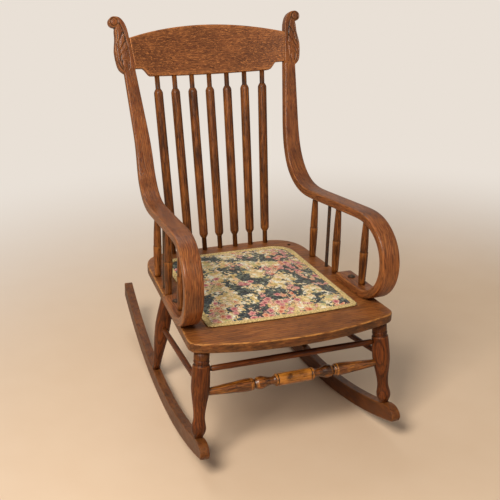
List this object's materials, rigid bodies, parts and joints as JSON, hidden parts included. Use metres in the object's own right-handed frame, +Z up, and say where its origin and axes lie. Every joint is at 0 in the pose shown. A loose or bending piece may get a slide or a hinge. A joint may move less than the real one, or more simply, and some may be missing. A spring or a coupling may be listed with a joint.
{
  "type": "rocking chair",
  "caption": "Oak rocking chair on curved runners, with bentwood post-and-arm loops, a spindle back, turned legs and stretchers, and a padded panel in a plank seat.",
  "frame": {"origin": "on the floor, midway between the front and rear ends of the rockers and midway across the chair", "axes": "+Z up, the chair faces -Y, +X to the viewer's right from the front"},
  "size_m": [0.5424, 0.869, 0.9635],
  "materials": {
    "oak_seat": "worn satin stain on plain-sawn oak",
    "oak_bent": "satin stain on steam-bent oak",
    "oak_crest": "satin stain on quarter-sawn oak",
    "oak_spindles": "satin stain on turned oak",
    "oak_legs": "satin dark stain on turned oak",
    "oak_golden": "satin golden stain on turned oak",
    "oak_hidden": "plain oak",
    "oak_rockers": "satin stain on sawn oak",
    "steel": "dull blackened steel",
    "tapestry": "woven verdure tapestry",
    "braid": "woven furniture braid"
  },
  "bodies": {
    "root": {"seat_plank": "oak_seat", "panel_board": "oak_hidden", "seat_pad": "tapestry", "panel_braid": "braid", "left_bent_arm": "oak_bent", "right_bent_arm": "oak_bent", "crest_rail": "oak_crest", "back_spindle_1": "oak_spindles", "back_spindle_2": "oak_spindles", "back_spindle_3": "oak_spindles", "back_spindle_4": "oak_spindles", "back_spindle_5": "oak_spindles", "back_spindle_6": "oak_spindles", "back_spindle_7": "oak_spindles", "left_front_arm_spindle": "oak_spindles", "left_mid_arm_spindle": "oak_spindles", "left_rear_arm_spindle": "oak_spindles", "right_front_arm_spindle": "oak_spindles", "right_mid_arm_spindle": "oak_spindles", "right_rear_arm_spindle": "oak_spindles", "left_arm_rod": "steel", "right_arm_rod": "steel", "rod_nuts": "steel", "foot_bolts": "steel", "foot_bolt_nuts": "steel", "crest_dowels": "oak_hidden", "left_front_leg": "oak_legs", "right_front_leg": "oak_legs", "left_rear_leg": "oak_legs", "right_rear_leg": "oak_legs", "upper_front_stretcher": "oak_legs", "turned_front_stretcher": "oak_golden", "left_side_stretcher": "oak_legs", "right_side_stretcher": "oak_legs", "rear_stretcher": "oak_legs", "left_rocker": "oak_rockers", "right_rocker": "oak_rockers", "rocker_pins": "oak_hidden", "seat_plugs": "oak_hidden", "panel_screws": "steel"}
  },
  "joints": []
}
